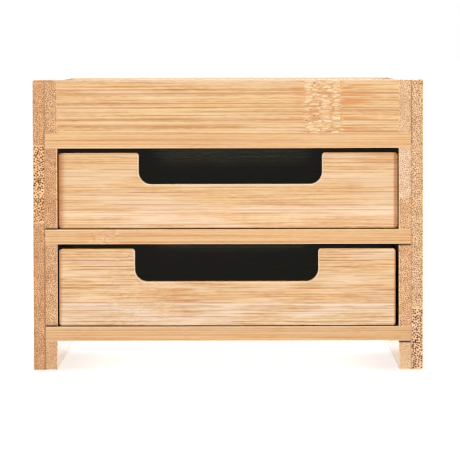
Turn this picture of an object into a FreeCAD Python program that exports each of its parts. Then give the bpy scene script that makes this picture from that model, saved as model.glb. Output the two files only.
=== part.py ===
import FreeCAD
import Part
import os
from types import SimpleNamespace

# Bamboo desktop mini drawers: an open tray over two drawers, between two-ply side panels.
#
# The case is made of flat boards. Each side panel is glued up from an outer ply and an inner
# ply, and the seam between them shows down its front edge. The inner ply is cut right through
# by a groove for each shelf, so what is left of it is four blocks, and every shelf runs to the
# seam. The inner ply also stops short at the rear, which leaves a rebate for the back panel.
# The tray has a front wall between the side panels, held by dowels. Below the lowest shelf the
# side panels run on down to the table as feet.
#
# Each drawer is a grooved and rebated box: its sides lie in rebates behind the front, its
# bottom panel slides in grooves, and its back stands on the bottom panel. A finger notch with
# rolled edges is cut in the top of the front. The drawers run on the shelves, with no stop.
#
# Frame: +Z up, the front faces -Y, and the origin is at the middle of the footprint, on the
# table. Lengths are in millimetres.

# Case
overall_width = 160.0
overall_depth = 130.0
ply_thickness = 5.0
shelf_thickness = 6.0
foot_height = 11.8
lower_opening_height = 33.9
upper_opening_height = 33.3
tray_wall_height = 22.0
tray_wall_thickness = 6.0
back_thickness = 5.0

# Edges of the case: rounded outside, eased where a hand or a drawer passes, and broken by a
# hair where two plies meet
outside_round = 0.6
arris_round = 0.4
wall_top_round = 0.6
foot_round = 0.5
seam_chamfer = 0.15

# How much wider the grooves of the two lower shelves are cut than the shelves
groove_play = 0.4

# Dowels that hold the tray's front wall to the side panels
dowel_radius = 2.0
dowel_hole_clearance = 0.05
dowel_in_outer_ply = 2.0
dowel_in_wall = 9.0
dowel_glue_gap = 0.5
dowel_edge_distance = 6.0

# Drawer boxes
front_thickness = 6.0
front_lip = 3.0
front_gap_below = 0.4
front_gap_above = 1.9
front_corner_round = 1.2
front_face_round = 0.5
front_rear_round = 0.3
side_thickness = 5.0
side_top_drop = 1.0
drawer_back_thickness = 5.0
box_top_round = 0.5
runner_gap = 0.2
closed_setback = 2.0
closed_back_gap = 0.3

# Drawer bottom panels and the grooves that hold them
bottom_thickness = 3.0
bottom_rise = 3.0
groove_depth = 2.0
front_groove_depth = 2.4
panel_play = 0.1

# Finger notch, whose floor lies at the same height above the lower edge of each front
notch_width = 75.2
notch_floor_height = 18.1
notch_corner_round = 5.0
notch_lip_round = 1.4

# What differs between the two drawers as they stand: the gaps beside each front, how far its
# notch was cut off centre, and how far the lower one stands out of its closed place
upper_left_gap = 0.4
upper_right_gap = 0.25
upper_notch_shift = 0.9
lower_left_gap = 0.65
lower_right_gap = 1.35
lower_notch_shift = -0.3
lower_pulled_out = 1.7

# Cutting tools reach past what they cut by this much
overrun = 1.0

# Levels, from the table up
bottom_board_z = (foot_height, foot_height + shelf_thickness)
lower_opening_z = (bottom_board_z[1], bottom_board_z[1] + lower_opening_height)
middle_shelf_z = (lower_opening_z[1], lower_opening_z[1] + shelf_thickness)
upper_opening_z = (middle_shelf_z[1], middle_shelf_z[1] + upper_opening_height)
tray_floor_z = (upper_opening_z[1], upper_opening_z[1] + shelf_thickness)
tray_z = (tray_floor_z[1], tray_floor_z[1] + tray_wall_height)
overall_height = tray_z[1]

# Planes across the case
outer_x = overall_width / 2
seam_x = outer_x - ply_thickness
inner_x = seam_x - ply_thickness
front_y = -overall_depth / 2
rear_y = overall_depth / 2
back_panel_y = rear_y - back_thickness
tray_wall_back_y = front_y + tray_wall_thickness


def board(x_span, y_span, z_span):
    """A square-edged board between a low and a high plane along each axis."""
    sizes = [high - low for low, high in (x_span, y_span, z_span)]
    corner = FreeCAD.Vector(x_span[0], y_span[0], z_span[0])
    return Part.makeBox(*sizes, corner)


def on_side(side, x):
    """That distance from the middle of the case, to the left or to the right."""
    return x if side == "right" else -x


def side_span(side, near, far):
    """The span from near to far on the right side of the case, or its mirror on the left."""
    return tuple(sorted((on_side(side, near), on_side(side, far))))


def lies_in(span, places):
    """Whether a span is all in the plane at one of those places."""
    return any(
        max(abs(end - place) for end in span) < Part.Precision.approximation()
        for place in places
    )


def edges_on(shape, **planes):
    """The edges that lie in every plane named, such as y=[front_y], or in either of two."""
    found = []
    for edge in shape.Edges:
        box = edge.BoundBox
        spans = {
            "x": (box.XMin, box.XMax),
            "y": (box.YMin, box.YMax),
            "z": (box.ZMin, box.ZMax),
        }
        if all(lies_in(spans[axis], places) for axis, places in planes.items()):
            found.append(edge)
    return found


def eased(shape, radius, **planes):
    """The shape with the edges in those planes rounded over."""
    return shape.makeFillet(radius, edges_on(shape, **planes))


def dowels(sides, extra_radius=0, extra_length=0):
    """The dowels of the tray's front wall, or the holes for them, two to each side panel."""
    near = inner_x - dowel_in_wall - extra_length
    far = seam_x + dowel_in_outer_ply + extra_length
    wall_middle_y = (front_y + tray_wall_back_y) / 2
    along = FreeCAD.Vector(1, 0, 0)
    cylinders = []
    for side in sides:
        low, high = side_span(side, near, far)
        for z in (tray_z[0] + dowel_edge_distance, tray_z[1] - dowel_edge_distance):
            start = FreeCAD.Vector(low, wall_middle_y, z)
            radius = dowel_radius + extra_radius
            cylinders.append(Part.makeCylinder(radius, high - low, start, along))
    return Part.makeCompound(cylinders)


def dowel_holes(sides):
    """The holes for those dowels, a little wide for them and long enough to take the glue."""
    return dowels(sides, dowel_hole_clearance, dowel_glue_gap)


def outer_ply(side):
    """The outer ply of a side panel: a full board with its outside edges rounded over."""
    ply = board(side_span(side, seam_x, outer_x), (front_y, rear_y), (0, overall_height))
    seam_edge = edges_on(ply, x=[on_side(side, seam_x)], y=[front_y])
    ply = ply.makeChamfer(seam_chamfer, seam_edge)
    ply = eased(ply, outside_round, x=[on_side(side, outer_x)])
    return ply.cut(dowel_holes([side]))


def inner_block(side, z_span, far_y):
    """What two grooves leave of an inner ply between them, with its seam edge broken."""
    block = board(side_span(side, inner_x, seam_x), (front_y, far_y), z_span)
    seam_edge = edges_on(block, x=[on_side(side, seam_x)], y=[front_y])
    return block.makeChamfer(seam_chamfer, seam_edge)


def tray_block(side):
    """The inner ply beside the tray, flush with the wall and drilled for its dowels."""
    block = inner_block(side, tray_z, back_panel_y)
    block = eased(block, arris_round, x=[on_side(side, inner_x)], z=[tray_z[1]])
    return block.cut(dowel_holes([side]))


def opening_block(side, z_span):
    """The inner ply beside a drawer, eased where the drawer goes in."""
    block = inner_block(side, z_span, back_panel_y)
    return eased(block, arris_round, x=[on_side(side, inner_x)], y=[front_y])


def foot_block(side, top_z):
    """The inner ply below the lowest shelf. It runs to the rear, under the back panel."""
    block = inner_block(side, (0, top_z), rear_y)
    block = eased(block, arris_round, x=[on_side(side, inner_x)], y=[front_y])
    return eased(block, foot_round, x=[on_side(side, inner_x)], z=[0])


def inner_blocks(side):
    """The four blocks of an inner ply, from the tray down.

    The grooves of the two lower shelves are wider than the shelves: the play is above them
    on the left and below them on the right.
    """
    above = groove_play if side == "left" else 0
    below = groove_play if side == "right" else 0
    upper_z = (upper_opening_z[0] + above, upper_opening_z[1])
    lower_z = (lower_opening_z[0] + above, lower_opening_z[1] - below)
    return {
        "tray": tray_block(side),
        "upper": opening_block(side, upper_z),
        "lower": opening_block(side, lower_z),
        "foot": foot_block(side, bottom_board_z[0] - below),
    }


def shelf(z_span, eased_z):
    """A shelf from seam to seam, eased along its front at the levels that stand free."""
    plank = board((-seam_x, seam_x), (front_y, back_panel_y), z_span)
    return eased(plank, arris_round, y=[front_y], z=eased_z)


def tray_front_wall():
    """The tray's front wall, between the side panels, drilled for dowels in its ends."""
    wall = board((-inner_x, inner_x), (front_y, tray_wall_back_y), tray_z)
    wall = eased(wall, wall_top_round, y=[front_y, tray_wall_back_y], z=[tray_z[1]])
    return wall.cut(dowel_holes(["left", "right"]))


def back_panel():
    """The back panel, in the rebates of the side panels, from the lowest shelf to the top."""
    height = (bottom_board_z[0], overall_height)
    panel = board((-seam_x, seam_x), (back_panel_y, rear_y), height)
    return eased(panel, arris_round, y=[back_panel_y, rear_y], z=[overall_height])


def case_pieces():
    """The pieces of the case, which stands still."""
    pieces = {
        "tray_floor": shelf(tray_floor_z, [tray_floor_z[0]]),
        "middle_shelf": shelf(middle_shelf_z, list(middle_shelf_z)),
        "bottom_board": shelf(bottom_board_z, list(bottom_board_z)),
        "tray_front_wall": tray_front_wall(),
        "tray_wall_dowels": dowels(["left", "right"]),
        "back_panel": back_panel(),
    }
    for side in ("left", "right"):
        pieces[f"{side}_outer_ply"] = outer_ply(side)
        for name, block in inner_blocks(side).items():
            pieces[f"{side}_inner_ply_{name}"] = block
    return pieces


def drawer_planes(opening_z, left_gap, right_gap, notch_shift, pulled_out):
    """Where a drawer's planes are, as it stands in the opening between those two levels."""
    at = SimpleNamespace(opening_z=opening_z)
    at.x = (-inner_x + left_gap, inner_x - right_gap)
    at.inside_x = (at.x[0] + side_thickness, at.x[1] - side_thickness)
    at.notch_x = sum(at.x) / len(at.x) + notch_shift

    at.face_y = front_y + closed_setback - pulled_out
    at.lip_y = at.face_y + front_lip
    at.behind_y = at.face_y + front_thickness
    at.end_y = back_panel_y - closed_back_gap - pulled_out

    at.front_z = (opening_z[0] + front_gap_below, opening_z[1] - front_gap_above)
    at.side_z = (opening_z[0] + runner_gap, at.front_z[1] - side_top_drop)
    panel_low = at.side_z[0] + bottom_rise
    at.panel_z = (panel_low, panel_low + bottom_thickness)
    at.groove_z = (at.panel_z[0] - panel_play, at.panel_z[1] + panel_play)
    return at


def notched_outline(at):
    """The outline of a drawer front, seen from the front: a rounded board with a notch.

    The corners run round the outline, each with the radius that it is turned by.
    """
    left, right = at.x
    low, high = at.front_z
    notch_left = at.notch_x - notch_width / 2
    notch_right = at.notch_x + notch_width / 2
    notch_floor = low + notch_floor_height
    corners = [
        (left, low, front_corner_round),
        (right, low, front_corner_round),
        (right, high, front_corner_round),
        (notch_right, high, notch_lip_round),
        (notch_right, notch_floor, notch_corner_round),
        (notch_left, notch_floor, notch_corner_round),
        (notch_left, high, notch_lip_round),
        (left, high, front_corner_round),
    ]
    points = [FreeCAD.Vector(x, at.face_y, z) for x, z, radius in corners]
    turns = []
    for n, (x, z, radius) in enumerate(corners):
        corner = points[n]
        back = (points[n - 1] - corner).normalize()
        on = (points[(n + 1) % len(points)] - corner).normalize()
        centre = corner + (back + on) * radius
        middle = centre + (corner - centre).normalize() * radius
        turns.append((corner + back * radius, middle, corner + on * radius))
    edges = []
    for n, (start, middle, end) in enumerate(turns):
        next_start = turns[(n + 1) % len(turns)][0]
        edges.append(Part.Arc(start, middle, end).toShape())
        edges.append(Part.LineSegment(end, next_start).toShape())
    return Part.Wire(edges)


def drawer_front(at):
    """The front: rolled edges all round, rebates for the sides, a groove for the bottom."""
    face = Part.Face(notched_outline(at))
    front = face.extrude(FreeCAD.Vector(0, front_thickness, 0))
    front = eased(front, front_face_round, y=[at.face_y])
    front = eased(front, front_rear_round, y=[at.behind_y])
    behind_lip = (at.lip_y, at.behind_y + overrun)
    left_rebate = board((at.x[0] - overrun, at.inside_x[0]), behind_lip, at.opening_z)
    right_rebate = board((at.inside_x[1], at.x[1] + overrun), behind_lip, at.opening_z)
    groove = board(
        (at.inside_x[0] - overrun, at.inside_x[1] + overrun),
        (at.behind_y - front_groove_depth, at.behind_y + overrun),
        at.groove_z,
    )
    return front.cut(left_rebate).cut(right_rebate).cut(groove)


def drawer_side(at, x_span):
    """A side, from the lip of the front to the rear, with a groove for the bottom panel."""
    side = board(x_span, (at.lip_y, at.end_y), at.side_z)
    side = eased(side, box_top_round, x=list(x_span), z=[at.side_z[1]])
    groove = board(
        (at.inside_x[0] - groove_depth, at.inside_x[1] + groove_depth),
        (at.lip_y - overrun, at.end_y + overrun),
        at.groove_z,
    )
    return side.cut(groove)


def drawer_back(at):
    """The back, between the sides, standing on the bottom panel."""
    y_span = (at.end_y - drawer_back_thickness, at.end_y)
    back = board(at.inside_x, y_span, (at.panel_z[1], at.side_z[1]))
    return eased(back, box_top_round, y=list(y_span), z=[at.side_z[1]])


def drawer_bottom(at):
    """The bottom panel, loose by the play all round in the grooves that hold it."""
    reach = groove_depth - panel_play
    x_span = (at.inside_x[0] - reach, at.inside_x[1] + reach)
    y_span = (at.behind_y - front_groove_depth + panel_play, at.end_y)
    return board(x_span, y_span, at.panel_z)


def drawer_pieces(at):
    """The five pieces of a drawer."""
    return {
        "front": drawer_front(at),
        "left_side": drawer_side(at, (at.x[0], at.inside_x[0])),
        "right_side": drawer_side(at, (at.inside_x[1], at.x[1])),
        "back": drawer_back(at),
        "bottom": drawer_bottom(at),
    }


def both_drawers():
    """The planes of the upper drawer, which is closed, and of the lower, which isn't quite."""
    upper = drawer_planes(
        upper_opening_z, upper_left_gap, upper_right_gap, upper_notch_shift, 0
    )
    lower = drawer_planes(
        lower_opening_z, lower_left_gap, lower_right_gap, lower_notch_shift, lower_pulled_out
    )
    return {"upper": upper, "lower": lower}


def all_nodes():
    """Every piece of the object by its node's name."""
    nodes = case_pieces()
    for level, at in both_drawers().items():
        for name, piece in drawer_pieces(at).items():
            nodes[f"{level}_drawer_{name}"] = piece
    return nodes


def main():
    os.makedirs("parts", exist_ok=True)
    for name, shape in all_nodes().items():
        if not shape.isValid():
            raise ValueError(f"{name} isn't a valid shape")
        shape.exportStep(f"parts/{name}.step")
        print(f"{name}: {len(shape.Solids)} solid(s), {shape.Volume:.1f} mm3")


main()
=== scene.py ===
# %% [markdown]
# # Bamboo mini drawers for a desk
#
# This lesson dresses a small case of drawers: an open tray over two drawers, all of bamboo
# board. The pieces come from the construction model with their real shapes and sizes, so the
# work here is the finish: long grain, end grain, node marks, and the dark fibre ends that
# pepper the front edges of the side panels. Each step says what the real thing is, how it
# could be made, and why it is made this way.

# %% Load the construction model
import math

import bpy
from mathutils import Matrix, Vector


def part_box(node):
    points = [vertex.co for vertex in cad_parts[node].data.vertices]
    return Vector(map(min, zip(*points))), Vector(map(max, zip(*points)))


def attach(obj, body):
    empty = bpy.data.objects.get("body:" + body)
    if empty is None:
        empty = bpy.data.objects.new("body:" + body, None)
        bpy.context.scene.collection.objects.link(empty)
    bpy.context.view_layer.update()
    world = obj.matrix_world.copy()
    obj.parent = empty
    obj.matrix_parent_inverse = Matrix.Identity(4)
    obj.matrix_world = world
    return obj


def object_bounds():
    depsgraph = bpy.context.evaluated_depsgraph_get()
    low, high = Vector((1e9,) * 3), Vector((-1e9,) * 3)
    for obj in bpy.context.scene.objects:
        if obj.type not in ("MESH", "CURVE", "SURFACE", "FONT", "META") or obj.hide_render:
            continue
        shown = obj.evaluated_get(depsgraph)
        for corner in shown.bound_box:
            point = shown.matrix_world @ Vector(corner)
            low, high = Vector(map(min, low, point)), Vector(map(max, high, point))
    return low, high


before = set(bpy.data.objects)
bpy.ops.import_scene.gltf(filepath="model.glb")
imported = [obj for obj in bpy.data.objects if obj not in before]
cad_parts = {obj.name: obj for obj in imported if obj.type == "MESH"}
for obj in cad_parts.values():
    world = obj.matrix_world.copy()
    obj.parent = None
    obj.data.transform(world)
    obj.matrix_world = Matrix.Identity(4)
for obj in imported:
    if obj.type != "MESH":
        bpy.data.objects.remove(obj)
CAD_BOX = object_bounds()
MM = 0.001

# %% [markdown]
# ## The camera
#
# The picture was taken from straight in front with a long lens. The feet's inner edges and
# the tray's rear edge show where the camera stood: they run to a point above the case and a
# little right of its middle, and the rear is about 8 percent smaller than the front. That
# puts the camera about one and a half metres away, 132 mm up and 8 mm to the right. It looks
# slightly down, so the case stays in the middle of the frame without any lens shift.

# %% Set up the camera
PIXELS = 460
MM_PER_PIXEL = 0.41
SENSOR = 36.0
CAMERA_DISTANCE = 1495 * MM
CAMERA_RIGHT = 8.3 * MM
CAMERA_HEIGHT = 132.3 * MM
PICTURE_CENTRE_RIGHT = 0.8 * MM
PICTURE_CENTRE_HEIGHT = 57.45 * MM
CAMERA_ROLL = math.radians(0.12)


def make_camera():
    """A long lens that sees the front at the same number of pixels as the picture does."""
    front = CAD_BOX[0].y
    eye = Vector((CAMERA_RIGHT, front - CAMERA_DISTANCE, CAMERA_HEIGHT))
    target = Vector((PICTURE_CENTRE_RIGHT, front, PICTURE_CENTRE_HEIGHT))
    data = bpy.data.cameras.new("camera")
    data.sensor_width = SENSOR
    data.lens = (target - eye).length / (MM_PER_PIXEL * MM) * SENSOR / PIXELS
    camera = bpy.data.objects.new("camera", data)
    aim = (target - eye).to_track_quat("-Z", "Y").to_matrix().to_4x4()
    camera.matrix_world = Matrix.Translation(eye) @ aim @ Matrix.Rotation(-CAMERA_ROLL, 4, "Z")
    bpy.context.scene.collection.objects.link(camera)
    bpy.context.scene.camera = camera
    return camera


camera = make_camera()
print(f"lens {camera.data.lens:.0f} mm")

# %% [markdown]
# ## A short way to write node trees
#
# Grain is arithmetic on coordinates, and a node for every plus and times soon fills a page.
# This small class adds a node, plugs in its inputs and hands back its output, so that a
# formula reads as a formula. It serves shader trees and geometry trees alike.


# %% A helper for node trees
class Tree:
    """Builds a node tree one step at a time."""

    def __init__(self, tree):
        self.tree = tree

    def plug(self, socket, value):
        if isinstance(value, bpy.types.NodeSocket):
            self.tree.links.new(value, socket)
        elif value is not None:
            socket.default_value = value

    def add(self, kind, inputs=None, output=0, **settings):
        """A node of that kind, with its settings and inputs, and one of its outputs."""
        node = self.tree.nodes.new(kind)
        for name, value in settings.items():
            setattr(node, name, value)
        for name, value in (inputs or {}).items():
            self.plug(node.inputs[name], value)
        return node.outputs[output]

    def math(self, operation, *values, clamp=False):
        inputs = dict(enumerate(values))
        return self.add("ShaderNodeMath", inputs, operation=operation, use_clamp=clamp)

    def vector(self, x, y, z):
        return self.add("ShaderNodeCombineXYZ", {"X": x, "Y": y, "Z": z})

    def noise(self, vector, detail=2.0, roughness=0.5):
        inputs = {"Vector": vector, "Scale": 1.0, "Detail": detail, "Roughness": roughness}
        return self.add("ShaderNodeTexNoise", inputs)

    def parts(self, vector):
        """The three numbers of a vector, or of a colour."""
        return self.add("ShaderNodeSeparateXYZ", {"Vector": vector}).node.outputs

    def step(self, value, low, high):
        """0 below low, 1 above high, and a smooth rise between them, either way round."""
        inputs = {"Value": value, "From Min": low, "From Max": high}
        return self.add("ShaderNodeMapRange", inputs, interpolation_type="SMOOTHSTEP")

    def swing(self, value, amount):
        """A value from 0 to 1 turned into one that swings by that amount about zero."""
        return self.math("MULTIPLY", self.math("SUBTRACT", value, 0.5), amount)

    def total(self, *values):
        result = values[0]
        for value in values[1:]:
            result = self.math("ADD", result, value)
        return result

    def product(self, *values):
        result = values[0]
        for value in values[1:]:
            result = self.math("MULTIPLY", result, value)
        return result

    def at_least(self, least, chance):
        """A number from 0 to 1 turned into one from the least to 1."""
        return self.math("ADD", least, self.product(chance, 1.0 - least))

    def scaled(self, shade, factor):
        """A colour or a place with its three parts multiplied by a number or by three others."""
        return self.add("ShaderNodeVectorMath", {0: shade, 1: factor}, operation="MULTIPLY")

    def blend(self, factor, first, second):
        """One colour turned into another by a factor."""
        node = self.tree.nodes.new("ShaderNodeMix")
        node.data_type = "RGBA"
        self.plug(node.inputs["Factor"], factor)
        self.plug(node.inputs[6], first)
        self.plug(node.inputs[7], second)
        return node.outputs[2]


def colour(red, green, blue):
    """A colour as it looks on a screen, from 0 to 255, as the linear one that shaders take."""
    def linear(value):
        share = value / 255
        return share / 12.92 if share <= 0.04045 else ((share + 0.055) / 1.055) ** 2.4
    return (linear(red), linear(green), linear(blue), 1.0)


def new_group(name, kind, inputs, outputs):
    """An empty node group with those named inputs and outputs, and its two end nodes."""
    group = bpy.data.node_groups.new(name, kind)
    for side, sockets in (("INPUT", inputs), ("OUTPUT", outputs)):
        for socket_name, socket_kind, *default in sockets:
            socket = group.interface.new_socket(
                socket_name, in_out=side, socket_type=f"NodeSocket{socket_kind}"
            )
            if default:
                socket.default_value = default[0]
    source = group.nodes.new("NodeGroupInput")
    sink = group.nodes.new("NodeGroupOutput")
    return group, source.outputs, sink.inputs


print("helpers ready")

# %% [markdown]
# ## What bamboo board is
#
# A bamboo board is glued up from strips about 22 mm wide, split from the wall of the stem.
# Thin dark fibre bundles run along each strip among paler tissue. Every strip has its own
# tone, and crosses a node of the stem here and there, where the fibres waver and the tissue
# shows as short pale dashes.
#
# A picture of wood wrapped round each piece would stretch at the corners. Here the grain is a
# solid that the piece is cut from. Noise is stretched a long way along the fibres and hardly
# at all across them, so a long face shows streaks and an end face shows dots, with no seam
# between the two. All lengths in the grain are in millimetres.
#
# First come the strips. White noise gives three random numbers for each, and the node mark is
# a band across the strip, with ragged ends where the fibres reach into it. A pair called a
# fade or a choice holds the two values between which a look goes from none to all of it.

# %% Strips and node marks
STRIP_WIDTH = 22.0
STRIP_KEY = 17.31
JOINT_FADE = (0.20, 0.05)
RAG_HEIGHT = 0.8
RAG_REACH = 9.0
MARK_BLUR = 0.5


def strips(t, given):
    """What is random about the strip that a point is in, and how near its joint it is."""
    place = t.math("DIVIDE", t.math("SUBTRACT", given["Across"], given["Joint At"]), STRIP_WIDTH)
    number = t.math("ADD", t.math("FLOOR", place), t.math("MULTIPLY", given["Seed"], STRIP_KEY))
    chance = t.parts(t.add("ShaderNodeTexWhiteNoise", {"W": number}, "Color", noise_dimensions="1D"))
    from_middle = t.math("ABSOLUTE", t.math("SUBTRACT", t.math("FRACT", place), 0.5))
    from_joint = t.math("MULTIPLY", t.math("SUBTRACT", 0.5, from_middle), STRIP_WIDTH)
    return chance[0], chance[1], chance[2], t.step(from_joint, *JOINT_FADE)


def node_mark(t, given, chance):
    """How far a point is from the node mark of its strip, and whether it is inside."""
    spread = t.product(t.math("SUBTRACT", chance, 0.5), given["Mark Spread"])
    offset = t.math("SUBTRACT", given["Along"], t.math("ADD", given["Mark At"], spread))
    rag = t.noise(t.vector(0.0, t.math("DIVIDE", given["Across"], RAG_HEIGHT), given["Through"]))
    edge = t.math("ADD", given["Mark Half Width"], t.swing(rag, RAG_REACH))
    inside = t.step(t.math("SUBTRACT", t.math("ABSOLUTE", offset), edge), MARK_BLUR, -MARK_BLUR)
    return offset, t.math("MULTIPLY", inside, given["Mark Strength"])


print("strips", STRIP_WIDTH, "mm wide")

# %% [markdown]
# Inside a node mark the wood looks woven. A flat Voronoi pattern, squeezed until its cells are
# five times as long as they are high and bent a little, gives the dashes and their outlines.
# A second, coarser one picks a few places for dark pores.

# %% The cells of a node mark
CELL_PALE = colour(242, 215, 174)
CELL_EDGE = colour(194, 130, 66)
CELL_GOLD = colour(206, 132, 62)
PORE_DARK = colour(96, 60, 34)
CELL_LENGTH = 4.0
CELL_WIDTH = 0.76
BEND_LENGTH = 3.4
BEND_WIDTH = 1.7
BEND_ALONG = 0.5
BEND_ACROSS = 0.8
WARM_LENGTH = 3.0
WARM_WIDTH = 2.2
WARM_SEED = 5.0
PALE_CHOICE = (0.15, 0.45)
PALE_FADE = (0.03, 0.20)
GOLD_CHOICE = (0.72, 0.84)
WARM_CHOICE = (0.54, 0.64)
OUTLINE_FADE = (0.17, 0.05)
OUTLINE_LEAST = 0.4
PORE_SPACING = 3.6
PORE_CHOICE = (0.80, 0.82)
PORE_FADE = (0.13, 0.06)
CELL_STRENGTH = 0.66
GOLD_STRENGTH = 0.50
OUTLINE_STRENGTH = 0.62
PORE_STRENGTH = 0.8


def node_cells(t, given, along, across, mark, body):
    """Short pale cells with golden outlines, warm patches and a few dark pores, in the node mark."""

    def at(length, width, depth):
        return t.vector(t.math("DIVIDE", along, length), t.math("DIVIDE", across, width), depth)

    def voronoi(place, **settings):
        inputs = {"Vector": place, "Scale": 1.0}
        return t.add("ShaderNodeTexVoronoi", inputs, voronoi_dimensions="2D", **settings)

    bend = t.noise(at(BEND_LENGTH, BEND_WIDTH, given["Seed"]))
    place = t.vector(
        t.math("ADD", t.math("DIVIDE", along, CELL_LENGTH), t.swing(bend, BEND_ALONG)),
        t.math("ADD", t.math("DIVIDE", across, CELL_WIDTH), t.swing(bend, BEND_ACROSS)),
        0.0,
    )
    tint = t.parts(voronoi(place).node.outputs["Color"])
    border = voronoi(place, feature="DISTANCE_TO_EDGE")
    warm = t.noise(at(WARM_LENGTH, WARM_WIDTH, WARM_SEED))
    pale = t.product(t.step(tint[0], *PALE_CHOICE), t.step(border, *PALE_FADE))
    gold = t.math("MAXIMUM", t.step(tint[2], *GOLD_CHOICE), t.step(warm, *WARM_CHOICE))
    outline = t.product(t.step(border, *OUTLINE_FADE), t.at_least(OUTLINE_LEAST, tint[1]))
    body = t.blend(t.product(mark, pale, CELL_STRENGTH), body, CELL_PALE)
    body = t.blend(t.product(mark, gold, GOLD_STRENGTH), body, CELL_GOLD)
    body = t.blend(t.product(mark, outline, OUTLINE_STRENGTH), body, CELL_EDGE)

    spot = t.vector(
        t.math("DIVIDE", given["Along"], PORE_SPACING),
        t.math("DIVIDE", given["Across"], PORE_SPACING),
        0.0,
    )
    pore = voronoi(spot).node.outputs
    chosen = t.step(t.parts(pore["Color"])[0], *PORE_CHOICE)
    near = t.step(pore["Distance"], *PORE_FADE)
    return t.blend(t.product(mark, near, chosen, PORE_STRENGTH), body, PORE_DARK)


print("cells", CELL_LENGTH, "by", CELL_WIDTH, "mm")

# %% [markdown]
# The rest of a long face is layers of noise drawn out along the fibres, and thin straight
# lines that come and go. Each layer is given by its length, its width and its detail, and each
# set of lines by its spacing, its thickness and its length. Every strip of every board takes
# its grain from another place in the noise. Beside a node mark the grain has darker streaks.
# The ends of the drawer fronts are darker too, partly oil soaked up there and partly painted
# shade, where the side panels shade the set-back fronts.

# %% Long grain of one board, as a node group
PALE_GRAIN = colour(229, 191, 138)
MIDDLE_GRAIN = colour(219, 172, 114)
DARK_GRAIN = colour(191, 131, 71)
LINE_GRAIN = colour(161, 92, 36)
BLUSH_GRAIN = colour(232, 200, 162)
STREAK_GRAIN = colour(206, 132, 62)
UNSTAINED = (1.0, 1.0, 1.0, 1.0)
END_OIL_AND_SHADE = (0.74, 0.53, 0.37, 1.0)
OIL_AND_SHADE_LOW = (1.15, 0.15)
OIL_AND_SHADE_HIGH = (1.1, 0.75)
STRIP_SHIFT = 700.0
SEED_SHIFT = 91.7
FINE_LENGTH = 110.0
FINE_WIDTH = 0.33
ROUGH = 0.6
DRIFT_NOISE = (220.0, 22.0, 0.0)
DRIFT_SWING = 1.2
WAVER_NOISE = (5.0, 2.6, 0.0)
WAVER_SWING = 1.7
MIDDLE_NOISE = (90.0, 0.80, 1.0)
BROAD_NOISE = (160.0, 4.2, 1.0)
PATCH_NOISE = (20.0, 5.0, 1.0)
FLECK_NOISE = (3.2, 0.36, 0.0)
GRAIN_SWINGS = (2.7, 0.2, 0.45, 0.4, 0.9)
BLUSH_NOISE = (34.0, 4.6, 2.0)
BLUSH_CHOICE = (0.42, 0.66)
STREAK_NOISE = (30.0, 0.66, 0.0)
STREAK_CHOICE = (0.54, 0.59)
STREAKS_RIGHT = ((27.0, 11.0), (6.0, 8.5))
STREAKS_LEFT = ((-17.0, -8.0), (-6.0, -8.5))
DARK_LINE = (1.9, 0.36, 95.0)
THIN_LINE = (1.05, 0.28, 60.0)
PALE_LINE = (2.3, 0.34, 70.0)
LINE_KEY = 3.7
LINE_SHIFT = 3.77
LINE_MARGIN = 0.2
LINE_CHOICE = (0.42, 0.54)
LINE_EDGE = (0.7, 0.3)
LINE_LEAST = 0.35
DARK_LINE_STRENGTH = 0.88
THIN_LINE_STRENGTH = 0.58
PALE_LINE_STRENGTH = 0.45
JOINT_STRENGTH = 0.30
STREAK_STRENGTH = 0.80
STREAKS_LEFT_SHARE = 0.7
MIDDLE_SHADE = 0.54
STRIP_TONES = 0.10
TONE_SHARE = 0.6
LOWER_BLUR = 0.1
RELIEF_SHARES = (0.5, 0.3, -0.4)


def oil_and_shade_at_ends(t, given):
    """How far a point is inside the darker ends of a board, partly oiled and partly painted shade."""
    low = t.math("SUBTRACT", given["Along"], given["Low End"])
    high = t.math("SUBTRACT", given["High End"], given["Along"])
    low = t.step(t.math("DIVIDE", low, given["Low Tint"]), *OIL_AND_SHADE_LOW)
    high = t.step(t.math("DIVIDE", high, given["High Tint"]), *OIL_AND_SHADE_HIGH)
    return t.math("MAXIMUM", low, high)


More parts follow.
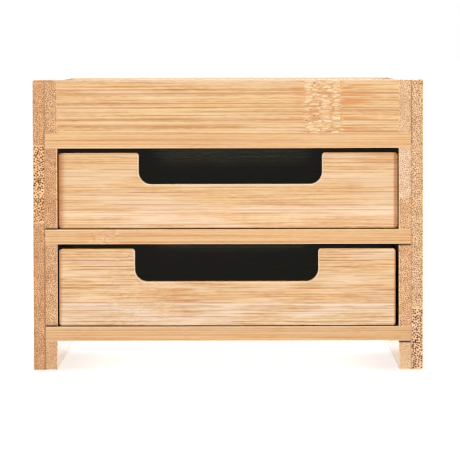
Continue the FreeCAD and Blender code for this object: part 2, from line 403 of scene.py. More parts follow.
def make_long_grain():
    """The colour and the relief of a face that runs along the fibres."""
    group, given, result = new_group(
        "long_grain",
        "ShaderNodeTree",
        [
            ("Along", "Float"), ("Across", "Float"), ("Through", "Float"), ("Seed", "Float"),
            ("Joint At", "Float"), ("Mark At", "Float"), ("Mark Spread", "Float"),
            ("Mark Half Width", "Float"), ("Mark Strength", "Float"),
            ("Contrast", "Float"), ("Line Length", "Float"), ("Tone", "Float"), ("Blush", "Float"),
            ("Low End", "Float"), ("High End", "Float"), ("Low Tint", "Float"), ("High Tint", "Float"),
            ("Stain", "Vector"), ("Lower Stain", "Vector"),
        ],
        [("Color", "Color"), ("Relief", "Float")],
    )
    t = Tree(group)
    tone, shift, chance, joint = strips(t, given)
    offset, mark = node_mark(t, given, chance)
    along = t.total(given["Along"], t.product(shift, STRIP_SHIFT), t.product(given["Seed"], SEED_SHIFT))

    def fibres(length, width, detail, across=given["Across"]):
        """Noise drawn out along the fibres."""
        place = t.vector(
            t.math("DIVIDE", along, length),
            t.math("DIVIDE", across, width),
            t.math("DIVIDE", given["Through"], width),
        )
        return t.noise(place, detail, ROUGH)

    drift = fibres(*DRIFT_NOISE)
    waver = fibres(*WAVER_NOISE)
    sideways = t.math("ADD", given["Across"], given["Through"])
    across = t.total(sideways, t.swing(drift, DRIFT_SWING), t.product(t.swing(waver, WAVER_SWING), mark))

    def lines(spacing, thickness, length):
        """Straight lines of one thickness, one to a spacing, that come and go along the board.

        The key only has to differ from line to line, so that each has its own random numbers.
        """
        place = t.math("DIVIDE", across, spacing)
        number = t.math("FLOOR", place)
        key = t.total(number, t.product(given["Seed"], LINE_KEY), spacing)
        random = t.parts(t.add("ShaderNodeTexWhiteNoise", {"W": key}, "Color", noise_dimensions="1D"))
        centre = t.math("ADD", LINE_MARGIN, t.product(random[0], 1.0 - 2 * LINE_MARGIN))
        away = t.product(t.math("ABSOLUTE", t.math("SUBTRACT", t.math("FRACT", place), centre)), spacing)
        place = t.math("DIVIDE", along, t.product(given["Line Length"], length))
        comes = t.noise(t.vector(place, t.product(number, LINE_SHIFT), key), 1.0)
        strong = t.at_least(LINE_LEAST, random[1])
        outer, inner = (thickness * share for share in LINE_EDGE)
        return t.product(t.step(away, outer, inner), t.step(comes, *LINE_CHOICE), strong)

    fine = fibres(t.product(given["Line Length"], FINE_LENGTH), FINE_WIDTH, 0.0, across)
    middle = fibres(*MIDDLE_NOISE, across)
    broad = fibres(*BROAD_NOISE, across)
    patch = fibres(*PATCH_NOISE, across)
    fleck = fibres(*FLECK_NOISE, across)
    dark_line = lines(*DARK_LINE)
    thin_line = lines(*THIN_LINE)
    pale_line = lines(*PALE_LINE)

    layers = (fine, middle, broad, patch, fleck)
    wave = t.total(*(t.swing(layer, amount) for layer, amount in zip(layers, GRAIN_SWINGS)))
    shade = t.math("ADD", MIDDLE_SHADE, t.product(wave, given["Contrast"]))
    ramp = t.tree.nodes.new("ShaderNodeValToRGB")
    ramp.color_ramp.elements[0].position = 0.0
    ramp.color_ramp.elements[0].color = DARK_GRAIN
    ramp.color_ramp.elements[1].position = 1.0
    ramp.color_ramp.elements[1].color = PALE_GRAIN
    ramp.color_ramp.elements.new(0.5).color = MIDDLE_GRAIN
    t.plug(ramp.inputs[0], shade)
    blush = t.product(t.step(fibres(*BLUSH_NOISE, across), *BLUSH_CHOICE), given["Blush"])
    body = t.blend(blush, ramp.outputs[0], BLUSH_GRAIN)
    body = t.blend(t.product(pale_line, PALE_LINE_STRENGTH), body, BLUSH_GRAIN)
    body = t.blend(t.product(dark_line, given["Contrast"], DARK_LINE_STRENGTH), body, LINE_GRAIN)
    body = t.blend(t.product(thin_line, given["Contrast"], THIN_LINE_STRENGTH), body, LINE_GRAIN)

    right_of = t.product(*(t.step(offset, *ends) for ends in STREAKS_RIGHT))
    left_of = t.product(*(t.step(offset, *ends) for ends in STREAKS_LEFT), STREAKS_LEFT_SHARE)
    streak = t.step(fibres(*STREAK_NOISE, across), *STREAK_CHOICE)
    beside = t.product(streak, t.math("ADD", right_of, left_of), given["Mark Strength"])
    body = t.blend(t.product(beside, STREAK_STRENGTH), body, STREAK_GRAIN)
    body = node_cells(t, given, along, across, mark, body)

    body = t.blend(t.math("MULTIPLY", joint, JOINT_STRENGTH), body, LINE_GRAIN)
    # Darker ends: partly oil, partly painted shade from the side panels on a set-back front
    end_oil_and_shade = t.blend(oil_and_shade_at_ends(t, given), UNSTAINED, END_OIL_AND_SHADE)
    level = t.total(1.0, t.swing(tone, STRIP_TONES), t.product(given["Tone"], TONE_SHARE))
    above_joint = t.math("SUBTRACT", given["Across"], given["Joint At"])
    below = t.step(above_joint, LOWER_BLUR, -LOWER_BLUR)
    lower = t.blend(below, UNSTAINED, given["Lower Stain"])
    for factor in (end_oil_and_shade, given["Stain"], lower, level):
        body = t.scaled(body, factor)

    t.plug(result["Color"], body)
    depths = zip((fine, middle, dark_line), RELIEF_SHARES)
    t.plug(result["Relief"], t.total(*(t.product(layer, share) for layer, share in depths)))
    return group


LONG_GRAIN = make_long_grain()
print("long grain:", len(LONG_GRAIN.nodes), "nodes")

# %% [markdown]
# ## End grain
#
# Where the saw cuts across the fibres, each bundle shows as a dot in paler, slightly rosy
# tissue. The larger dots are made as real geometry further down. This group is the ground
# that they lie in: a dense stipple of the smallest bundles, and slow clouds of tone. It also
# draws the glue line between the two plies of a side panel, dark over part of its height and
# broken elsewhere, a small pit where a glue line has a gap, and the dark line where an inner
# ply doesn't quite close on the shelf next to it.

# %% End grain, as a node group
END_PALE = colour(234, 192, 146)
END_ROSY = colour(198, 146, 98)
END_SPECK = colour(172, 114, 70)
GLUE_SEAM = colour(84, 48, 26)
CLOUD_SIZE = 7.0
CLOUD_SWING = 1.5
GRIT_SIZE = 0.42
GRIT_SWING = 2.4
STIPPLE = 0.74
STIPPLE_SCATTER = 0.7
SPECK_FADE = (0.42, 0.20)
SPECK_PATCH = 2.4
SPECK_CHOICE = (0.25, 0.50)
SPECK_STRENGTH = 0.60
SEAM_HALF_WIDTH = 0.36
OPEN_SEAM_STRENGTH = 0.68
BROKEN_SEAM_STRENGTH = 0.55
BREAK_LENGTH = 2.2
BREAK_CHOICE = (0.30, 0.52)
PIT_HALF_HEIGHT = 0.8
PIT_HALF_WIDTH = 0.5
OPEN_JOINT = 0.5
OPEN_JOINT_STRENGTH = 0.9


def make_end_grain():
    """The colour and the relief of a face cut across the fibres."""
    group, given, result = new_group(
        "end_grain",
        "ShaderNodeTree",
        [
            ("Across", "Float"), ("Through", "Float"), ("Seed", "Float"),
            ("Seam At", "Float"), ("Seam Low", "Float"), ("Seam High", "Float"), ("Pit Height", "Float"),
            ("Open Joint", "Float"), ("Stain", "Vector"),
        ],
        [("Color", "Color"), ("Relief", "Float")],
    )
    t = Tree(group)

    def at(size):
        through = t.math("DIVIDE", given["Through"], size)
        return t.vector(through, t.math("DIVIDE", given["Across"], size), given["Seed"])

    cloud = t.noise(at(CLOUD_SIZE))
    grit = t.noise(at(GRIT_SIZE), 0.0)
    shade = t.total(0.5, t.swing(cloud, CLOUD_SWING), t.swing(grit, GRIT_SWING))
    ground = t.blend(t.math("ADD", shade, 0.0, clamp=True), END_ROSY, END_PALE)
    cell = t.add("ShaderNodeTexVoronoi",
                 {"Vector": at(STIPPLE), "Scale": 1.0, "Randomness": STIPPLE_SCATTER})
    speck = t.step(cell, *SPECK_FADE)
    thick = t.step(t.noise(at(SPECK_PATCH)), *SPECK_CHOICE)
    ground = t.blend(t.product(speck, thick, SPECK_STRENGTH), ground, END_SPECK)

    seam_off = t.math("ABSOLUTE", t.math("SUBTRACT", given["Through"], given["Seam At"]))
    height = given["Across"]
    open_part = t.product(t.step(height, t.math("SUBTRACT", given["Seam Low"], 1.0), given["Seam Low"]),
                          t.step(height, t.math("ADD", given["Seam High"], 1.0), given["Seam High"]))
    breaks = t.noise(t.vector(given["Seed"], t.math("DIVIDE", height, BREAK_LENGTH), 0.0))
    broken = t.step(breaks, *BREAK_CHOICE)
    dark = t.math("MAXIMUM", t.product(open_part, OPEN_SEAM_STRENGTH),
                  t.product(broken, BROKEN_SEAM_STRENGTH))
    seam = t.product(t.step(seam_off, SEAM_HALF_WIDTH, SEAM_HALF_WIDTH / 2), dark)
    up = t.math("DIVIDE", t.math("SUBTRACT", height, given["Pit Height"]), PIT_HALF_HEIGHT)
    out = t.math("DIVIDE", seam_off, PIT_HALF_WIDTH)
    pit = t.step(t.math("ADD", t.product(up, up), t.product(out, out)), 1.0, 0.5)
    joint_off = t.math("ABSOLUTE", t.math("SUBTRACT", height, given["Open Joint"]))
    gap = t.product(t.step(joint_off, OPEN_JOINT, OPEN_JOINT / 2), OPEN_JOINT_STRENGTH)
    ground = t.blend(t.math("MAXIMUM", gap, t.math("MAXIMUM", seam, pit)), ground, GLUE_SEAM)
    ground = t.scaled(ground, given["Stain"])
    t.plug(result["Color"], ground)
    t.plug(result["Relief"], t.product(speck, -0.5))
    return group


END_GRAIN = make_end_grain()
print("end grain:", len(END_GRAIN.nodes), "nodes")

# %% [markdown]
# ## One material for each board
#
# Each board has its own material, made by one function. It says which way the fibres run and
# which way the strips lie side by side, and where the strip's node mark is. The direction of
# the surface chooses between long grain and end grain, and where an edge is rounded over the
# two meet softly, as they do under sandpaper.
#
# Rounded edges catch the light, and that highlight is painted as a paler colour along them,
# most of all round a finger notch, and the rest of a drawer front's edges stay as they are. So
# do the outer corners of the case, and the edges along a seam or an open joint. The oil finish
# is a satin one under a thin clear coat. A look that isn't wanted on a board, such as a seam,
# is put nowhere near it.

# %% The board material
AXES = {"x": 0, "y": 1, "z": 2}
NODE_SPACING = 350.0
# The colour of the painted highlight on rounded edges, where light catches them
PAINTED_EDGE_HIGHLIGHT = colour(255, 238, 208)
PAINTED_TOP_SHARE = 0.85
SEAM_PLANE = 75.0
SEAM_FADE = (0.25, 0.45)
OUTSIDE_FADE = (79.3, 78.9)
OPEN_JOINT_FADE = (0.8, 1.2)
STRIP_FADE = 0.5
RIM_STARTS = 1.5
RIM_SIDE_FULL = 0.5
RIM_FLOOR_FULL = 1.0
PAINTED_TOP_FADE = 0.4
ROUNDED = (0.985, 0.93)
TURNED_FORWARDS = (0.55, 0.70)
TURNED_ASIDE = (0.20, 0.10)
END_TURNED = (0.55, 0.85)
ROUGHNESS = 0.46
ROUGHNESS_SWING = 0.16
RELIEF_DEPTH = 0.03
RELIEF_STRENGTH = 0.4
SPECULAR = 0.3
COAT = 0.8
COAT_ROUGHNESS = 0.12
NOWHERE = 500.0
PLAIN_LOOK = {
    "Joint At": 0.0, "Mark At": 0.0, "Mark Spread": NODE_SPACING, "Mark Half Width": 7.6,
    "Mark Strength": 0.9, "Contrast": 1.0, "Line Length": 1.0, "Tone": 0.0, "Blush": 0.2,
    "Low End": -NOWHERE, "High End": NOWHERE, "Low Tint": 1.0, "High Tint": 1.0,
    "Seam At": NOWHERE, "Seam Low": 0.0, "Seam High": 0.0, "Pit Height": -NOWHERE,
    "Open Joint": -NOWHERE, "Stain": (1.0, 1.0, 1.0), "Lower Stain": (1.0, 1.0, 1.0), "Edge Highlight": 0.55,
}


def arris(t, facing):
    """1 on the part of a rounded edge that gets the painted highlight, and 0 on the flat faces, from how
    the surface faces.
    """
    sizes = [t.math("ABSOLUTE", value) for value in facing]
    most = t.math("MAXIMUM", sizes[0], t.math("MAXIMUM", sizes[1], sizes[2]))
    forwards = t.math("ABSOLUTE", facing[1])
    half = t.math("MAXIMUM", t.step(forwards, *TURNED_FORWARDS), t.step(forwards, *TURNED_ASIDE))
    return t.product(t.step(most, *ROUNDED), half)


def zoned_stain(t, height, stain, zones):
    """The stain of end grain, which changes at the heights where another strip begins."""
    shade = t.vector(*stain)
    for low, high, other in zones:
        above_low = t.step(height, low - STRIP_FADE, low + STRIP_FADE)
        inside = t.product(above_low, t.step(height, high + STRIP_FADE, high - STRIP_FADE))
        shade = t.blend(inside, shade, (*other, 1.0))
    return shade


def painted_edge_highlights(t, axis, facing, edge_highlight, open_joint, rim):
    """How strong the painted highlight on the rounded edges is, or on those of a finger notch alone
    where a rim is given.
    """
    from_seam = t.math("ABSOLUTE", t.math("SUBTRACT", t.math("ABSOLUTE", axis[0]), SEAM_PLANE))
    outside = t.step(t.math("ABSOLUTE", axis[0]), *OUTSIDE_FADE)
    from_joint = t.math("ABSOLUTE", t.math("SUBTRACT", axis[2], open_joint))
    near, far = (OPEN_JOINT * share for share in OPEN_JOINT_FADE)
    clear = t.step(from_joint, near, far)
    edges = t.product(arris(t, facing), edge_highlight, t.step(from_seam, *SEAM_FADE), clear, outside)
    if rim is None:
        return edges
    left, right, above = rim
    past_left = t.step(axis[0], left - RIM_STARTS, left - RIM_SIDE_FULL)
    before_right = t.step(axis[0], right + RIM_STARTS, right + RIM_SIDE_FULL)
    over_floor = t.step(axis[2], above - RIM_STARTS, above - RIM_FLOOR_FULL)
    return t.product(edges, past_left, before_right, over_floor)


def board_material(name, fibres, stacked, seed, look, end_stain=None, zones=(), rim=None,
                   painted_light_above=NOWHERE):
    """Bamboo whose fibres run along one axis and whose strips are stacked along another."""
    material = bpy.data.materials.new(name)
    material.use_nodes = True
    material.node_tree.nodes.clear()
    t = Tree(material.node_tree)
    place = t.add("ShaderNodeTexCoord", output="Object")
    axis = t.parts(t.scaled(place, (1 / MM,) * 3))
    along_axis, across_axis = AXES[fibres], AXES[stacked]
    through_axis = 3 - along_axis - across_axis
    facing = t.parts(t.add("ShaderNodeTexCoord", output="Normal"))
    end = t.step(t.math("ABSOLUTE", facing[along_axis]), *END_TURNED)

    values = {
        **PLAIN_LOOK, **look, "Seed": seed,
        "Along": axis[along_axis], "Across": axis[across_axis], "Through": axis[through_axis],
    }
    long_face = t.add("ShaderNodeGroup", node_tree=LONG_GRAIN).node
    end_face = t.add("ShaderNodeGroup", node_tree=END_GRAIN).node
    for face in (long_face, end_face):
        for socket in face.inputs:
            t.plug(socket, values.get(socket.name))
    t.plug(end_face.inputs["Stain"], zoned_stain(t, axis[2], end_stain or values["Stain"], zones))

    wood = t.blend(end, long_face.outputs["Color"], end_face.outputs["Color"])
    # Painted highlight along the top of a board, above the given height
    painted_top_light = t.product(t.step(axis[2], painted_light_above, painted_light_above + PAINTED_TOP_FADE), PAINTED_TOP_SHARE)
    # Painted highlight: rounded edges are made paler where the light catches them
    edge_highlight = painted_edge_highlights(t, axis, facing, values["Edge Highlight"], values["Open Joint"], rim)
    painted_light = t.math("MAXIMUM", edge_highlight, painted_top_light)
    shader = material.node_tree.nodes.new("ShaderNodeBsdfPrincipled")
    t.plug(shader.inputs["Base Color"], t.blend(painted_light, wood, PAINTED_EDGE_HIGHLIGHT))
    long_part = t.product(long_face.outputs["Relief"], t.math("SUBTRACT", 1.0, end))
    relief = t.total(long_part, t.product(end_face.outputs["Relief"], end))
    bump = {"Height": relief, "Distance": RELIEF_DEPTH * MM, "Strength": RELIEF_STRENGTH}
    t.plug(shader.inputs["Normal"], t.add("ShaderNodeBump", bump))
    t.plug(shader.inputs["Roughness"], t.math("ADD", ROUGHNESS, t.product(relief, ROUGHNESS_SWING)))
    shader.inputs["Specular IOR Level"].default_value = SPECULAR
    shader.inputs["Coat Weight"].default_value = COAT
    shader.inputs["Coat Roughness"].default_value = COAT_ROUGHNESS
    output = material.node_tree.nodes.new("ShaderNodeOutputMaterial")
    t.plug(output.inputs["Surface"], shader.outputs[0])
    return material


print("board material ready")

# %% [markdown]
# ## The boards of the case
#
# The fibres of the side panels run from front to back, so their front edges are end grain.
# Those of the shelves, the tray's wall and the back panel run from side to side. The wall is
# one strip, and its node mark crosses its whole height, 39 mm right of the middle. On the
# large faces, each strip has its node somewhere else.
#
# The two panels were cut from different stems: the left one is browner and the right one is
# pinker. So each piece of end grain has a stain, which is a colour that multiplies its own.
# Three pieces change to another strip part of the way up, and take another stain there. The
# insides of the feet are nearly white in the picture, so the feet's long faces have a pale
# stain, which is painted light standing in for the strong light on them. Four inner plies end
# a hair short of a shelf, where the joint shows as a dark line.

# %% Finish the case
LEFT_SEAM = {"Seam At": -75.12, "Seam Low": 0.0, "Seam High": 51.0}
RIGHT_SEAM = {"Seam At": 75.12, "Seam Low": 97.0, "Seam High": 119.0, "Pit Height": 93.7}
SIDE_STAINS = {
    "left_outer_ply": (0.935, 0.845, 0.765), "left_inner_ply_tray": (0.98, 0.96, 0.92),
    "left_inner_ply_upper": (0.90, 0.80, 0.70), "left_inner_ply_lower": (0.95, 0.90, 0.85),
    "left_inner_ply_foot": (0.91, 0.89, 0.88),
    "right_outer_ply": (1.05, 1.11, 1.19), "right_inner_ply_tray": (0.95, 1.00, 1.07),
    "right_inner_ply_upper": (1.04, 1.21, 1.54), "right_inner_ply_lower": (1.01, 0.98, 0.96),
    "right_inner_ply_foot": (0.96, 1.03, 1.09),
}
STRIP_CHANGES = {
    "left_outer_ply": ((60.5, 92.1, (1.20, 1.12, 1.02)), (0.0, 60.5, (0.89, 0.77, 0.65))),
    "right_outer_ply": ((0.0, 25.3, (1.17, 1.23, 1.40)),),
    "right_inner_ply_upper": ((57.0, 70.8, (1.02, 1.01, 1.01)),),
}
OPEN_AT_BOTTOM = ("left_inner_ply_upper", "left_inner_ply_lower")
OPEN_AT_TOP = ("right_inner_ply_lower", "right_inner_ply_foot")
# Painted light: the feet's long faces are made paler, as if strongly lit
FOOT_PAINTED_LIGHT = (1.04, 1.20, 1.42)
ONE_MARK = {"Mark Spread": 0.0}
SHELF_LOOK = {"Joint At": 1.0, "Stain": (0.945, 1.0, 1.06), **ONE_MARK}
BOARD_LOOKS = {
    "tray_front_wall": ("z", {"Joint At": 97.0, "Mark At": 39.0, "Mark Strength": 1.0, "Blush": 0.35,
                              "Tone": -0.04, "Edge Highlight": 0.3, **ONE_MARK}),
    "tray_floor": ("y", {**SHELF_LOOK, "Mark Spread": NODE_SPACING, "Contrast": 0.60, "Tone": 0.28}),
    "middle_shelf": ("y", {**SHELF_LOOK, "Mark At": -51.0, "Mark Half Width": 5.0,
                           "Mark Strength": 0.6, "Contrast": 0.68, "Tone": 0.22}),
    "bottom_board": ("y", {**SHELF_LOOK, "Mark At": 300.0, "Contrast": 0.65, "Tone": 0.20}),
    "back_panel": ("z", {"Joint At": 9.0, "Tone": 0.1}),
    "tray_wall_dowels": ("z", {"Joint At": 9.0}),
}
# Above this height the back panel gets a painted highlight, paler where the light falls strongly
PAINTED_LIGHT_TOP = 117.7
SIDE_LOOK = {"Joint At": 7.0, "Contrast": 0.85}
FIRST_PLY_SEED = 1
FIRST_BOARD_SEED = 11


def dress(node, material):
    """Gives a piece of the construction model its finish."""
    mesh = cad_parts[node].data
    mesh.materials.clear()
    mesh.materials.append(material)


for seed, (node, end_stain) in enumerate(SIDE_STAINS.items(), start=FIRST_PLY_SEED):
    look = {**SIDE_LOOK, **(LEFT_SEAM if node.startswith("left") else RIGHT_SEAM)}
    low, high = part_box(node)
    if node in OPEN_AT_BOTTOM:
        look["Open Joint"] = low.z / MM
    if node in OPEN_AT_TOP:
        look["Open Joint"] = high.z / MM
    if node.endswith("foot"):
        look["Stain"] = FOOT_PAINTED_LIGHT
    zones = STRIP_CHANGES.get(node, ())
    dress(node, board_material(node, "y", "z", seed, look, end_stain=end_stain, zones=zones))
for seed, (node, (stacked, look)) in enumerate(BOARD_LOOKS.items(), start=FIRST_BOARD_SEED):
    painted_light_above = PAINTED_LIGHT_TOP if node == "back_panel" else NOWHERE
    dress(node, board_material(node, "x", stacked, seed, look, painted_light_above=painted_light_above))
print("case:", len(SIDE_STAINS) + len(BOARD_LOOKS), "pieces finished")

# %% [markdown]
# ## The drawers
#
# A drawer front is one whole strip above and a ripped one below, so a joint line crosses it
# 22 mm under its top edge and the strip below it is a little pinker. The fronts are the palest
# boards of the case, and their dark lines are short dashes. The sides, the back and the thin
# bottom are plainer stock.

# %% Finish the drawers
NOTCH_HALF_WIDTH = 37.6
NOTCH_CENTRES = {"upper": 0.975, "lower": -0.65}
NOTCH_FLOOR = 18.1
FRONT_LOOKS = {
    "upper": {"Joint At": 67.1, "Mark At": 28.0, "Mark Strength": 0.08, "Mark Half Width": 13.0,
              "Contrast": 0.72, "Line Length": 0.32, "Tone": 0.05, "Blush": 0.55,
              "Low Tint": 2.8, "High Tint": 1.9,
              "Stain": (0.96, 0.97, 1.01), "Lower Stain": (1.01, 1.05, 1.17), "Edge Highlight": 0.75, **ONE_MARK},
    "lower": {"Joint At": 27.8, "Mark At": -36.0, "Mark Strength": 0.24, "Mark Half Width": 14.0,
              "Contrast": 0.96, "Line Length": 0.26, "Tone": 0.03, "Blush": 0.65,
              "Low Tint": 1.4, "High Tint": 0.6,
              "Stain": (0.97, 0.97, 1.00), "Lower Stain": (1.02, 1.11, 1.32), "Edge Highlight": 0.75, **ONE_MARK},
}
BOX_LOOK = {"Joint At": 5.0, "Contrast": 0.70, "Stain": (0.79, 0.87, 0.98), "Edge Highlight": 0.2}
BOX_PIECES = (
    ("left_side", "y", "z"), ("right_side", "y", "z"), ("back", "x", "z"), ("bottom", "x", "y"),
)
FIRST_DRAWER_SEED = 21
SEEDS_APART = 10


def dress_drawer(level, first_seed):
    """Finishes the five pieces of a drawer."""
    front = f"{level}_drawer_front"
    low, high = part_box(front)
    centre = NOTCH_CENTRES[level]
    rim = (centre - NOTCH_HALF_WIDTH, centre + NOTCH_HALF_WIDTH, low.z / MM + NOTCH_FLOOR)
    look = {**FRONT_LOOKS[level], "Low End": low.x / MM, "High End": high.x / MM}
    dress(front, board_material(front, "x", "z", first_seed, look, rim=rim))
    for seed, (piece, fibres, stacked) in enumerate(BOX_PIECES, start=first_seed + 1):
        node = f"{level}_drawer_{piece}"
        dress(node, board_material(node, fibres, stacked, seed, BOX_LOOK))


for number, level in enumerate(FRONT_LOOKS):
    dress_drawer(level, FIRST_DRAWER_SEED + SEEDS_APART * number)
print("drawers:", len(FRONT_LOOKS) * (1 + len(BOX_PIECES)), "pieces finished")

# %% [markdown]
# ## Fibre ends
#
# The front edges of the side panels are peppered with dark dots, the cut ends of the thickest
# fibre bundles. Strips from near the skin of the stem have coarse dark ones and strips from
# deeper in have fine pale ones, which is why the left panel is darkest half way up and the
# right one at its foot.
#
# There are thousands, evenly crowded but never in rows. That is a job for Geometry Nodes: a
# grid covers one patch of end grain, points are strewn on it no closer than a set distance,
# and each becomes a small flattened bead, half sunk in the wood. The size and the stretch of
# each are random, within limits.

# %% A Geometry Nodes tree that strews fibre ends over a patch
SIZES = (0.75, 1.2)
STRETCHES = (0.75, 1.15)
LARGEST_BEAD = 1.4
AS_MANY_AS_FIT = 1.0e8


def make_fibre_ends_tree():
    """Beads over an upright patch, with named inputs for its place, its size and the beads."""
    group, given, result = new_group(
        "fibre_ends",
        "GeometryNodeTree",
        [
            ("Geometry", "Geometry"), ("Centre", "Vector"), ("Width", "Float"), ("Height", "Float"),
            ("Spacing", "Float"), ("Bead Radius", "Float"), ("Bead Depth", "Float"),
            ("Seed", "Int"), ("Material", "Material"),
        ],
        [("Geometry", "Geometry")],
    )
    t = Tree(group)
    patch = t.add("GeometryNodeMeshGrid",
                  {"Size X": given["Width"], "Size Y": given["Height"],
                   "Vertices X": 2, "Vertices Y": 2})
    points = t.add("GeometryNodeDistributePointsOnFaces",
                   {"Mesh": patch, "Distance Min": given["Spacing"],
                    "Density Max": AS_MANY_AS_FIT, "Seed": given["Seed"]},
                   distribute_method="POISSON")
    bead = t.add("GeometryNodeMeshIcoSphere", {"Radius": given["Bead Radius"], "Subdivisions": 1})

    def random(limits, seed):
        ends = {2: limits[0], 3: limits[1], "Seed": seed}
        return t.add("FunctionNodeRandomValue", ends, 1, data_type="FLOAT")

    size = random(SIZES, given["Seed"])
    stretch = random(STRETCHES, t.math("ADD", given["Seed"], 1.0))
    flat = t.math("DIVIDE", given["Bead Depth"], given["Bead Radius"])
    scale = t.vector(size, t.math("MULTIPLY", size, stretch), flat)
    beads = t.add("GeometryNodeInstanceOnPoints", {"Points": points, "Instance": bead, "Scale": scale})
    upright = t.add("GeometryNodeTransform",
                    {"Geometry": t.add("GeometryNodeRealizeInstances", {"Geometry": beads}),
                     "Rotation": (math.pi / 2, 0.0, 0.0), "Translation": given["Centre"]})
    t.plug(result["Geometry"], t.add("GeometryNodeSetMaterial",
                                     {"Geometry": upright, "Material": given["Material"]}))
    return group


FIBRE_ENDS = make_fibre_ends_tree()
print("fibre ends:", len(FIBRE_ENDS.nodes), "nodes")

# %% [markdown]
# The beads have three materials of their own, from dark to faint. The brown of each comes
# from noise at the scale of a few beads, so that neighbours differ and none is flat.

# %% The material of the fibre ends
BEAD_CLOUD = 1.3
BEAD_CHOICE = (0.35, 0.65)
BEAD_ROUGHNESS = 0.6


def bead_material(name, dark, light):
    """Two browns, mixed from bead to bead."""
    material = bpy.data.materials.new(name)
    material.use_nodes = True
    shader = material.node_tree.nodes["Principled BSDF"]
    t = Tree(material.node_tree)
    place = t.scaled(t.add("ShaderNodeTexCoord", output="Object"), (1 / (BEAD_CLOUD * MM),) * 3)
    lighter = t.step(t.noise(place), *BEAD_CHOICE)
    t.plug(shader.inputs["Base Color"], t.blend(lighter, dark, light))
    shader.inputs["Roughness"].default_value = BEAD_ROUGHNESS
    shader.inputs["Specular IOR Level"].default_value = SPECULAR
    return material


COARSE_BEAD = bead_material("fibre_end_coarse", colour(68, 36, 14), colour(118, 72, 36))
FINE_BEAD = bead_material("fibre_end_fine", colour(110, 68, 34), colour(156, 106, 62))
FAINT_BEAD = bead_material("fibre_end_faint", colour(148, 98, 54), colour(184, 130, 82))
print("three bead materials")

# %% [markdown]
# Each patch is a stretch of one board's end, given by its heights. The outer plies have end
# grain at the front and the rear, and so have the feet. The front of the right foot is plain
# wood and gets none. The points keep away from the edges by the size of the largest bead, so
# that no bead hangs over. The tree runs once for every patch, and the results are joined into
# one mesh for each side panel.

# %% Strew the fibre ends
COARSE = dict(spacing=0.80, radius=0.43, material=COARSE_BEAD)
CROWDED = dict(spacing=0.80, radius=0.44, material=COARSE_BEAD)
MEDIUM = dict(spacing=0.70, radius=0.33, material=FINE_BEAD)
FINE = dict(spacing=0.64, radius=0.285, material=FINE_BEAD)
FAINT = dict(spacing=0.64, radius=0.25, material=FAINT_BEAD)
BEAD_DEPTH = 0.01
SHORTEST_PATCH = 2.8
OTHER_STRIP = {
    "left_outer_ply": (60.5, 92.1, COARSE), "right_outer_ply": (0.0, 25.3, CROWDED),
    "right_inner_ply_upper": (57.0, 70.8, FINE),
}
USUAL_KIND = {
    "right_outer_ply": MEDIUM, "left_inner_ply_foot": FAINT,
    "right_inner_ply_tray": FAINT, "right_inner_ply_upper": FAINT,
}
PLAIN_NODE = "right_inner_ply_foot"
BEAD_SEEDS = {"left": 100, "right": 300}


def run_tree(name, tree, settings):
    """The mesh that a geometry tree gives with those settings of its named inputs."""
    carrier = bpy.data.objects.new(name, bpy.data.meshes.new(name))
    bpy.context.scene.collection.objects.link(carrier)
    modifier = carrier.modifiers.new("strew", "NODES")
    modifier.node_group = tree
    for item in tree.interface.items_tree:
        if item.in_out == "INPUT" and item.name in settings:
            modifier[item.identifier] = settings[item.name]
    shown = carrier.evaluated_get(bpy.context.evaluated_depsgraph_get())
    mesh = bpy.data.meshes.new_from_object(shown)
    bpy.data.objects.remove(carrier)
    return mesh


def patches_of(node, rear):
    """The patches of a board's end at the front or the rear: heights, and the kind of bead."""
    low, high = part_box(node)
    bottom, top = low.z / MM, high.z / MM
    usual = USUAL_KIND.get(node, FINE)
    if node not in OTHER_STRIP or rear:
        return [(bottom, top, usual)]
    start, end, kind = OTHER_STRIP[node]
    spans = [(bottom, start, usual), (max(start, bottom), end, kind), (end, top, usual)]
    return [span for span in spans if span[1] - span[0] > SHORTEST_PATCH]


def strew(node, rear, seed):
    """The meshes of the fibre ends on one end of a board."""
    low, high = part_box(node)
    meshes = []
    for count, (bottom, top, kind) in enumerate(patches_of(node, rear)):
        margin = LARGEST_BEAD * kind["radius"] * MM
        centre = ((low.x + high.x) / 2, high.y if rear else low.y, (bottom + top) / 2 * MM)
        meshes.append(run_tree(node, FIBRE_ENDS, {
            "Centre": centre,
            "Width": high.x - low.x - 2 * margin,
            "Height": (top - bottom) * MM - 2 * margin,
            "Spacing": kind["spacing"] * MM,
            "Bead Radius": kind["radius"] * MM,
            "Bead Depth": BEAD_DEPTH * MM,
            "Seed": seed + count,
            "Material": kind["material"],
        }))
    return meshes


def join_meshes(name, meshes):
    """One object from several meshes, which all lie in the same place already."""
    parts = []
    for mesh in meshes:
        part = bpy.data.objects.new(name, mesh)
        bpy.context.scene.collection.objects.link(part)
        parts.append(part)
    with bpy.context.temp_override(active_object=parts[0], selected_editable_objects=parts):
        bpy.ops.object.join()
    parts[0].name = name
    return parts[0]


def fibre_ends_of(side, seed):
    """All the fibre ends of one side panel."""
    fronts = [node for node in SIDE_STAINS if node.startswith(side) and node != PLAIN_NODE]
    rears = [f"{side}_outer_ply", f"{side}_inner_ply_foot"]
    ends = [(node, False) for node in fronts] + [(node, True) for node in rears]
    meshes = []
    for count, (node, rear) in enumerate(ends):
        meshes += strew(node, rear, seed + SEEDS_APART * count)
    piece = join_meshes(f"{side}_fibre_ends", meshes)
    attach(piece, "case")
    return piece


for side, seed in BEAD_SEEDS.items():
    ends = fibre_ends_of(side, seed)
    print(ends.name, len(ends.data.polygons), "faces")
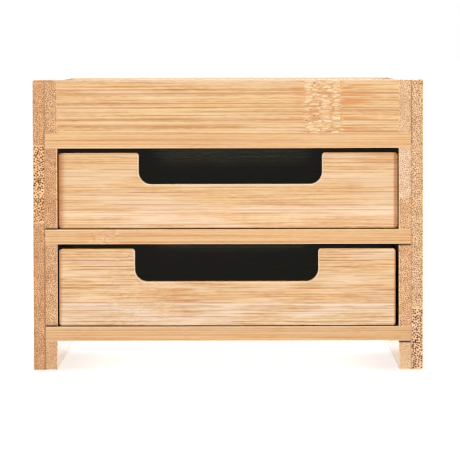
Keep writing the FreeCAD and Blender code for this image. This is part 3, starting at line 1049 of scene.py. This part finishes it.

# %% [markdown]
# ## The studio
#
# The picture is high key: a white sweep with light from all round. So the sky is white near
# the horizon, and the floor glows as a lit sweep does. Round each foot the glow is a little
# less, a painted shadow. Four soft lamps stand at the right, at the left, overhead and behind.
# The right one is small and strong, which is why the faces on that side are a little brighter.
# Standard colour is used, because a film-like curve would grey the whites. A tone curve draws
# the deepest shadows down to the near-black that the openings have in the picture. Light that
# has bounced about inside a wooden box turns red, so red has a second curve that holds it
# back there.

# %% Build the studio
HORIZON_BAND = 0.26
HORIZON_FADE = 0.50
SKY_ABOVE = 0.35
PAINTED_SHADOW_GLOW = 0.71
GLOW_FAR = 0.86
PAINTED_SHADOW_REACH = 0.03
FLOOR_GREY = 0.28
FLOOR_ROUGHNESS = 0.50
FLOOR_SPECULAR = 0.2
FLOOR_HALF_WIDTH = 30.0
FOOT_HALF_WIDTH = 5.0
LAMPS = {
    "right softbox": ((1.15, -1.25, 0.35), 0.35, 7.0),
    "left softbox": ((-1.15, -0.95, 0.45), 0.80, 4.6),
    "overhead": ((0.0, -0.42, 1.25), 0.60, 5.0),
    "rear softbox": ((0.15, 1.60, 0.62), 0.60, 9.0),
}
TONE_CURVE = ((0.008, 0.0105), (0.030, 0.0140), (0.06, 0.040), (0.10, 0.094), (0.30, 0.30))
RED_CURVE = ((0.012, 0.0145), (0.028, 0.0240), (0.06, 0.048), (0.12, 0.117), (0.30, 0.30))


def make_floor():
    """A pale, matt table top whose glow is dimmed round each foot, a painted shadow."""
    mesh = bpy.data.meshes.new("floor")
    half = FLOOR_HALF_WIDTH
    corners = [(-half, -half, 0), (half, -half, 0), (half, half, 0), (-half, half, 0)]
    mesh.from_pydata(corners, [], [(0, 1, 2, 3)])
    floor = bpy.data.objects.new("floor", mesh)
    bpy.context.scene.collection.objects.link(floor)
    material = bpy.data.materials.new("pale_floor")
    material.use_nodes = True
    shader = material.node_tree.nodes["Principled BSDF"]
    t = Tree(material.node_tree)
    place = t.parts(t.add("ShaderNodeTexCoord", output="Object"))

    def outside(value, limit):
        return t.math("MAXIMUM", t.math("SUBTRACT", t.math("ABSOLUTE", value), limit), 0.0)

    # Painted shadow: the glow is dimmed round each foot, on top of the real shadow of the matt floor
    from_foot = t.math("SUBTRACT", t.math("ABSOLUTE", place[0]), SEAM_PLANE * MM)
    aside = outside(from_foot, FOOT_HALF_WIDTH * MM)
    ahead = outside(place[1], CAD_BOX[1].y)
    away = t.math("SQRT", t.math("ADD", t.product(aside, aside), t.product(ahead, ahead)))
    far = t.step(away, 0.0, PAINTED_SHADOW_REACH)
    glow = t.math("ADD", PAINTED_SHADOW_GLOW, t.product(far, GLOW_FAR - PAINTED_SHADOW_GLOW))
    t.plug(shader.inputs["Emission Strength"], glow)
    shader.inputs["Emission Color"].default_value = (1.0, 1.0, 1.0, 1.0)
    shader.inputs["Base Color"].default_value = (FLOOR_GREY, FLOOR_GREY, FLOOR_GREY, 1.0)
    shader.inputs["Roughness"].default_value = FLOOR_ROUGHNESS
    shader.inputs["Specular IOR Level"].default_value = FLOOR_SPECULAR
    mesh.materials.append(material)


def make_lamp(name, place, size, watts):
    """A square soft light aimed at the middle of the case."""
    data = bpy.data.lights.new(name, "AREA")
    data.size = size
    data.energy = watts
    lamp = bpy.data.objects.new(name, data)
    target = (CAD_BOX[0] + CAD_BOX[1]) / 2
    lamp.location = place
    lamp.rotation_euler = (target - Vector(place)).to_track_quat("-Z", "Y").to_euler()
    bpy.context.scene.collection.objects.link(lamp)


def make_sky():
    """White near the horizon, as a sweep is, and dimmer overhead."""
    world = bpy.data.worlds.new("sky")
    world.use_nodes = True
    background = world.node_tree.nodes["Background"]
    t = Tree(world.node_tree)
    up = t.parts(t.add("ShaderNodeTexCoord", output="Generated"))[2]
    band = t.step(up, HORIZON_FADE, HORIZON_BAND)
    strength = t.math("ADD", SKY_ABOVE, t.math("MULTIPLY", band, 1.0 - SKY_ABOVE))
    t.plug(background.inputs["Strength"], strength)
    background.inputs["Color"].default_value = (1.0, 1.0, 1.0, 1.0)
    bpy.context.scene.world = world


make_floor()
make_sky()
for name, (place, size, watts) in LAMPS.items():
    make_lamp(name, place, size, watts)


def set_tones():
    """Standard colour, with the deepest shadows drawn down as in the picture."""
    view = bpy.context.scene.view_settings
    view.view_transform = "Standard"
    view.use_curve_mapping = True
    red, every = view.curve_mapping.curves[0], view.curve_mapping.curves[3]
    for curve, points in ((every, TONE_CURVE), (red, RED_CURVE)):
        for light, shown in points:
            curve.points.new(light, shown)
    view.curve_mapping.update()


set_tones()
print("studio ready")
